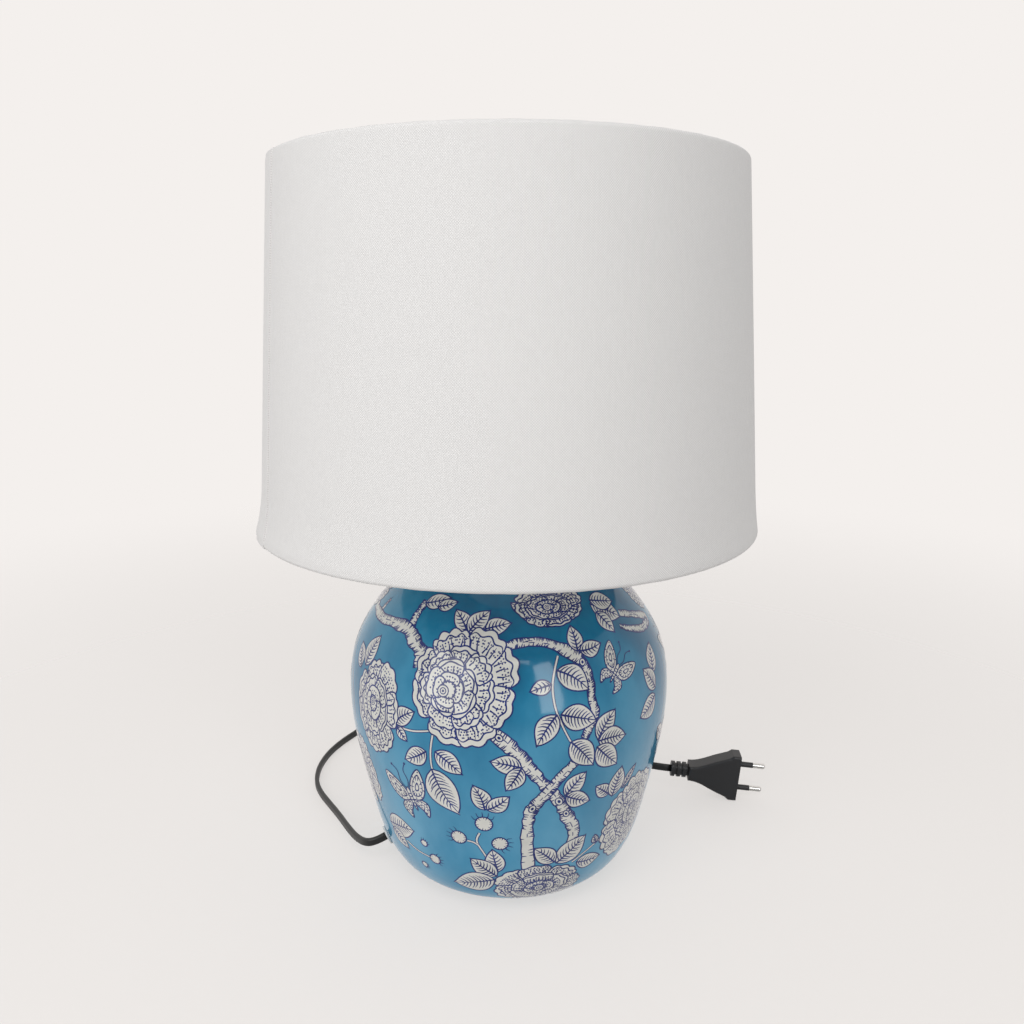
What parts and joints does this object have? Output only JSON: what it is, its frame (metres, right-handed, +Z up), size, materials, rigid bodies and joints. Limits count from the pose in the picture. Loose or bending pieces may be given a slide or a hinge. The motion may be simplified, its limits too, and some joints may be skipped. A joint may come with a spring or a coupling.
{
  "type": "ginger jar table lamp",
  "caption": "Table lamp: a glazed ceramic ginger jar base carries a tapered fabric shade on a screw lamp holder, with a mains cord, an inline rocker switch and a flat plug.",
  "frame": {"origin": "on the table, under the middle of the jar", "axes": "+Z up, +X to the viewer's right, +Y away from the viewer"},
  "size_m": [0.3394, 0.33, 0.435],
  "materials": {
    "jar_glaze": "glossy hand-painted glaze",
    "felt": "pressed felt",
    "cover_board": "fibreboard",
    "clear_plastic": "clear",
    "zinc_steel": "zinc plated",
    "black_rubber": "matt",
    "satin_brass": "satin",
    "holder_plastic": "fine grain",
    "porcelain": "white",
    "contact_metal": "bare",
    "bulb_metal": "pressed",
    "bulb_glass": "clear",
    "bulb_inner": "clear",
    "filament": "phosphor coated",
    "black_glass": "vitrite",
    "shade_cloth": "fine plain weave",
    "shade_liner": "satin film",
    "wire_white": "white enamel",
    "cord_black": "extruded",
    "switch_black": "fine spark finish",
    "plug_black": "moulded, satin",
    "pin_metal": "nickel plated",
    "tie_black": "moulded"
  },
  "bodies": {
    "base": {"foot_felt": "felt", "bottom_cover": "cover_board", "jar_body": "jar_glaze", "cord_grommet": "clear_plastic", "grommet_nut": "clear_plastic", "threaded_nipple": "zinc_steel", "rubber_washer": "black_rubber", "steel_washer": "zinc_steel", "nipple_nut": "zinc_steel", "vase_cap": "satin_brass", "collar": "satin_brass", "holder_cap": "holder_plastic", "holder_set_screw": "zinc_steel", "holder_skirt": "holder_plastic", "holder_insert": "porcelain", "terminal_blocks": "contact_metal", "terminal_screws": "zinc_steel", "screw_shell": "contact_metal", "centre_contact": "contact_metal", "cord_inside": "cord_black", "cord_to_switch": "cord_black", "cord_to_coil": "cord_black", "cord_coil": "cord_black", "cord_to_plug": "cord_black", "cord_in_switch": "cord_black", "coil_tie": "tie_black", "switch_bottom_shell": "switch_black", "switch_top_shell": "switch_black", "switch_screws": "zinc_steel", "rocker_pin": "zinc_steel", "switch_contacts": "contact_metal", "plug_body": "plug_black", "plug_pins": "pin_metal", "pin_sleeves": "plug_black"},
    "shade": {"shade_fabric": "shade_cloth", "shade_liner": "shade_liner", "bottom_ring": "wire_white", "top_ring": "wire_white", "bottom_hem": "shade_cloth", "top_hem": "shade_cloth", "spider_arms": "wire_white", "shade_fitter": "wire_white"},
    "shade_nut": {"shade_nut": "holder_plastic"},
    "bulb": {"bulb_cap": "bulb_metal", "bulb_insulator": "black_glass", "bulb_contact": "bulb_metal", "bulb_glass": "bulb_glass", "bulb_stem": "bulb_inner", "bulb_filaments": "filament", "filament_wires": "zinc_steel"},
    "rocker": {"switch_rocker": "switch_black"}
  },
  "joints": [
    {"name": "rocker_tilt", "type": "hinge", "parent": "base", "child": "rocker", "pos_m": [-0.06, 0.166, 0.0117], "axis": [0.0698, 0.9976, 0], "range_deg": [0, 18]},
    {"name": "shade_lift", "type": "slide", "parent": "base", "child": "shade", "axis": [0, 0, 1], "range_m": [0, 0.15]},
    {"name": "shade_nut_lift", "type": "slide", "parent": "base", "child": "shade_nut", "axis": [0, 0, 1], "range_m": [0, 0.21]},
    {"name": "bulb_lift", "type": "slide", "parent": "base", "child": "bulb", "axis": [0, 0, 1], "range_m": [0, 0.3]}
  ],
  "couplings": [
    {"joint": "shade_nut_lift", "follows": "shade_lift", "ratio": 1.4},
    {"joint": "bulb_lift", "follows": "shade_lift", "ratio": 2}
  ]
}
